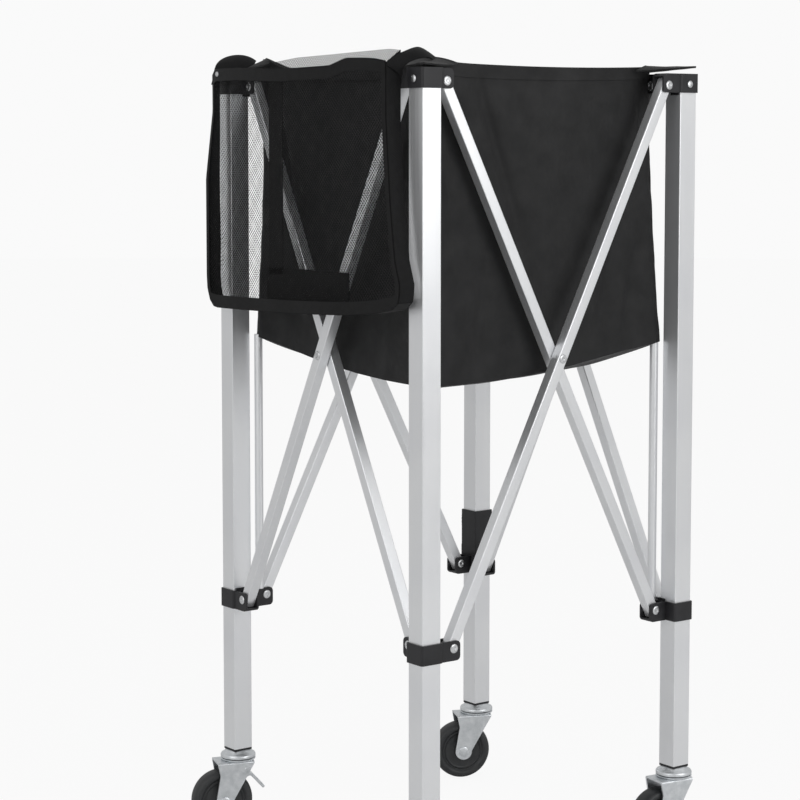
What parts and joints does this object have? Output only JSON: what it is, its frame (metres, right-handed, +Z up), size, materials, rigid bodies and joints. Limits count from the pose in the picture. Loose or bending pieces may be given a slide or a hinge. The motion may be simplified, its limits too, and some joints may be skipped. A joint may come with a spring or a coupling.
{
  "type": "ball cart",
  "caption": "Folding ball cart: square-tube legs on swivel casters, crossed bars on each side, an open-topped fabric ball bag and a mesh side pocket.",
  "frame": {"origin": "on the floor, under the middle of the overall box, with the wheels standing on Z = 0", "axes": "+Z up; the front side, between the front left and front right legs, faces -Y; the pocket hangs on the left side, which faces -X"},
  "size_m": [0.4572, 0.4334, 0.948],
  "materials": {
    "aluminium": "clear anodised, satin",
    "rivet_steel": "plated, satin",
    "zinc_steel": "zinc plated, slightly blue",
    "black_plastic": "moulded, fine grain",
    "wheel_black": "moulded, smooth",
    "bag_fabric": "woven polyester, faint sheen",
    "pocket_mesh": "open knitted mesh"
  },
  "bodies": {
    "front_left_leg": {"leg_fl": "aluminium", "top_bracket_fl": "black_plastic", "caster_mount_fl": "zinc_steel", "top_pin_inner_front": "rivet_steel", "top_pin_outer_left": "rivet_steel", "ball_bag": "bag_fabric", "mesh_pocket": "pocket_mesh"},
    "front_right_leg": {"leg_fr": "aluminium", "top_bracket_fr": "black_plastic", "caster_mount_fr": "zinc_steel", "top_pin_inner_right": "rivet_steel", "top_pin_outer_front": "rivet_steel"},
    "back_right_leg": {"leg_br": "aluminium", "top_bracket_br": "black_plastic", "caster_mount_br": "zinc_steel", "top_pin_inner_back": "rivet_steel", "top_pin_outer_right": "rivet_steel"},
    "back_left_leg": {"leg_bl": "aluminium", "top_bracket_bl": "black_plastic", "caster_mount_bl": "zinc_steel", "top_pin_inner_left": "rivet_steel", "top_pin_outer_back": "rivet_steel"},
    "front_left_slider": {"slider_fl": "black_plastic", "low_pin_outer_front": "rivet_steel", "low_pin_inner_left": "rivet_steel"},
    "front_right_slider": {"slider_fr": "black_plastic", "low_pin_outer_right": "rivet_steel", "low_pin_inner_front": "rivet_steel", "corner_stay_fr": "aluminium"},
    "back_right_slider": {"slider_br": "black_plastic", "low_pin_outer_back": "rivet_steel", "low_pin_inner_right": "rivet_steel"},
    "back_left_slider": {"slider_bl": "black_plastic", "low_pin_outer_left": "rivet_steel", "low_pin_inner_back": "rivet_steel", "corner_stay_bl": "aluminium"},
    "lock_trigger": {"lock_trigger": "black_plastic"},
    "front_inner_bar": {"bar_inner_front": "aluminium", "cross_pin_front": "rivet_steel"},
    "front_outer_bar": {"bar_outer_front": "aluminium"},
    "left_outer_bar": {"bar_outer_left": "aluminium", "cross_pin_left": "rivet_steel"},
    "left_inner_bar": {"bar_inner_left": "aluminium"},
    "right_inner_bar": {"bar_inner_right": "aluminium", "cross_pin_right": "rivet_steel"},
    "right_outer_bar": {"bar_outer_right": "aluminium"},
    "back_outer_bar": {"bar_outer_back": "aluminium", "cross_pin_back": "rivet_steel"},
    "back_inner_bar": {"bar_inner_back": "aluminium"},
    "front_left_fork": {"caster_fork_fl": "zinc_steel"},
    "front_left_wheel": {"wheel_fl": "wheel_black"},
    "front_left_pedal": {"brake_pedal_fl": "zinc_steel"},
    "front_right_fork": {"caster_fork_fr": "zinc_steel"},
    "front_right_wheel": {"wheel_fr": "wheel_black"},
    "back_right_fork": {"caster_fork_br": "zinc_steel"},
    "back_right_wheel": {"wheel_br": "wheel_black"},
    "back_left_fork": {"caster_fork_bl": "zinc_steel"},
    "back_left_wheel": {"wheel_bl": "wheel_black"},
    "back_left_pedal": {"brake_pedal_bl": "zinc_steel"}
  },
  "joints": [
    {"name": "fold", "type": "hinge", "parent": "front_left_leg", "child": "front_inner_bar", "pos_m": [-0.13961, -0.18412, 0.909], "axis": [0, 1, 0], "range_deg": [0, 20.55], "deforming": ["ball_bag", "mesh_pocket"]},
    {"name": "front_scissor_turn", "type": "hinge", "parent": "front_inner_bar", "child": "front_outer_bar", "pos_m": [0.01799, -0.19772, 0.6], "axis": [0, 1, 0], "range_deg": [-41.1, 0]},
    {"name": "front_right_leg_turn", "type": "hinge", "parent": "front_outer_bar", "child": "front_right_leg", "pos_m": [0.17558, -0.19772, 0.909], "axis": [0, 1, 0], "range_deg": [0, 20.55]},
    {"name": "front_right_slider_turn", "type": "hinge", "parent": "front_inner_bar", "child": "front_right_slider", "pos_m": [0.17558, -0.18412, 0.291], "axis": [0, 1, 0], "range_deg": [-20.55, 0]},
    {"name": "front_left_slider_turn", "type": "hinge", "parent": "front_outer_bar", "child": "front_left_slider", "pos_m": [-0.13961, -0.19772, 0.291], "axis": [0, 1, 0], "range_deg": [0, 20.55]},
    {"name": "left_outer_bar_turn", "type": "hinge", "parent": "front_left_leg", "child": "left_outer_bar", "pos_m": [-0.17402, -0.16332, 0.909], "axis": [1, 0, 0], "range_deg": [-20.55, 0]},
    {"name": "left_scissor_turn", "type": "hinge", "parent": "left_outer_bar", "child": "left_inner_bar", "pos_m": [-0.16042, -0.00572, 0.6], "axis": [1, 0, 0], "range_deg": [0, 41.1]},
    {"name": "back_left_leg_turn", "type": "hinge", "parent": "left_inner_bar", "child": "back_left_leg", "pos_m": [-0.16042, 0.15188, 0.909], "axis": [1, 0, 0], "range_deg": [-20.55, 0]},
    {"name": "back_left_slider_turn", "type": "hinge", "parent": "left_outer_bar", "child": "back_left_slider", "pos_m": [-0.17402, 0.15188, 0.291], "axis": [1, 0, 0], "range_deg": [0, 20.55]},
    {"name": "right_inner_bar_turn", "type": "hinge", "parent": "front_right_leg", "child": "right_inner_bar", "pos_m": [0.19639, -0.16332, 0.909], "axis": [-1, 0, 0], "range_deg": [0, 20.55]},
    {"name": "right_scissor_turn", "type": "hinge", "parent": "right_inner_bar", "child": "right_outer_bar", "pos_m": [0.20999, -0.00572, 0.6], "axis": [-1, 0, 0], "range_deg": [-41.1, 0]},
    {"name": "back_right_leg_turn", "type": "hinge", "parent": "right_outer_bar", "child": "back_right_leg", "pos_m": [0.20999, 0.15188, 0.909], "axis": [-1, 0, 0], "range_deg": [0, 20.55]},
    {"name": "back_right_slider_turn", "type": "hinge", "parent": "right_inner_bar", "child": "back_right_slider", "pos_m": [0.19639, 0.15188, 0.291], "axis": [-1, 0, 0], "range_deg": [-20.55, 0]},
    {"name": "back_outer_bar_turn", "type": "hinge", "parent": "back_left_leg", "child": "back_outer_bar", "pos_m": [-0.13961, 0.18628, 0.909], "axis": [0, -1, 0], "range_deg": [-20.55, 0]},
    {"name": "back_scissor_turn", "type": "hinge", "parent": "back_outer_bar", "child": "back_inner_bar", "pos_m": [0.01799, 0.17268, 0.6], "axis": [0, -1, 0], "range_deg": [0, 41.1]},
    {"name": "front_left_swivel", "type": "hinge", "parent": "front_left_leg", "child": "front_left_fork", "pos_m": [-0.17051, -0.19422, 0.0865], "axis": [0, 0, 1], "continuous": true},
    {"name": "front_left_wheel_spin", "type": "hinge", "parent": "front_left_fork", "child": "front_left_wheel", "pos_m": [-0.19025, -0.18704, 0.0375], "axis": [0.342, 0.9397, 0], "continuous": true},
    {"name": "front_left_brake", "type": "hinge", "parent": "front_left_fork", "child": "front_left_pedal", "pos_m": [-0.16394, -0.19662, 0.076], "axis": [0.342, 0.9397, 0], "range_deg": [0, 10]},
    {"name": "front_right_swivel", "type": "hinge", "parent": "front_right_leg", "child": "front_right_fork", "pos_m": [0.20649, -0.19422, 0.0865], "axis": [0, 0, 1], "continuous": true},
    {"name": "front_right_wheel_spin", "type": "hinge", "parent": "front_right_fork", "child": "front_right_wheel", "pos_m": [0.18569, -0.1913, 0.0375], "axis": [0.1392, 0.9903, 0], "continuous": true},
    {"name": "back_right_swivel", "type": "hinge", "parent": "back_right_leg", "child": "back_right_fork", "pos_m": [0.20649, 0.18278, 0.0865], "axis": [0, 0, 1], "continuous": true},
    {"name": "back_right_wheel_spin", "type": "hinge", "parent": "back_right_fork", "child": "back_right_wheel", "pos_m": [0.18745, 0.19165, 0.0375], "axis": [0.4226, 0.9063, 0], "continuous": true},
    {"name": "back_left_swivel", "type": "hinge", "parent": "back_left_leg", "child": "back_left_fork", "pos_m": [-0.17051, 0.18278, 0.0865], "axis": [0, 0, 1], "continuous": true},
    {"name": "back_left_wheel_spin", "type": "hinge", "parent": "back_left_fork", "child": "back_left_wheel", "pos_m": [-0.19049, 0.18927, 0.0375], "axis": [0.309, 0.9511, 0], "continuous": true},
    {"name": "back_left_brake", "type": "hinge", "parent": "back_left_fork", "child": "back_left_pedal", "pos_m": [-0.16386, 0.18061, 0.076], "axis": [0.309, 0.9511, 0], "range_deg": [0, 10]},
    {"name": "lock_pull", "type": "slide", "parent": "back_right_slider", "child": "lock_trigger", "axis": [0, 1, 0], "range_m": [0, 0.005], "stiffness_N_per_m": 500, "springref_m": -0.001}
  ],
  "couplings": [
    {"joint": "front_scissor_turn", "follows": "fold", "ratio": -2},
    {"joint": "front_right_leg_turn", "follows": "fold", "ratio": 1},
    {"joint": "front_right_slider_turn", "follows": "fold", "ratio": -1},
    {"joint": "front_left_slider_turn", "follows": "fold", "ratio": 1},
    {"joint": "left_outer_bar_turn", "follows": "fold", "ratio": -1},
    {"joint": "left_scissor_turn", "follows": "fold", "ratio": 2},
    {"joint": "back_left_leg_turn", "follows": "fold", "ratio": -1},
    {"joint": "back_left_slider_turn", "follows": "fold", "ratio": 1},
    {"joint": "right_inner_bar_turn", "follows": "fold", "ratio": 1},
    {"joint": "right_scissor_turn", "follows": "fold", "ratio": -2},
    {"joint": "back_right_leg_turn", "follows": "fold", "ratio": 1},
    {"joint": "back_right_slider_turn", "follows": "fold", "ratio": -1},
    {"joint": "back_outer_bar_turn", "follows": "fold", "ratio": -1},
    {"joint": "back_scissor_turn", "follows": "fold", "ratio": 2}
  ]
}
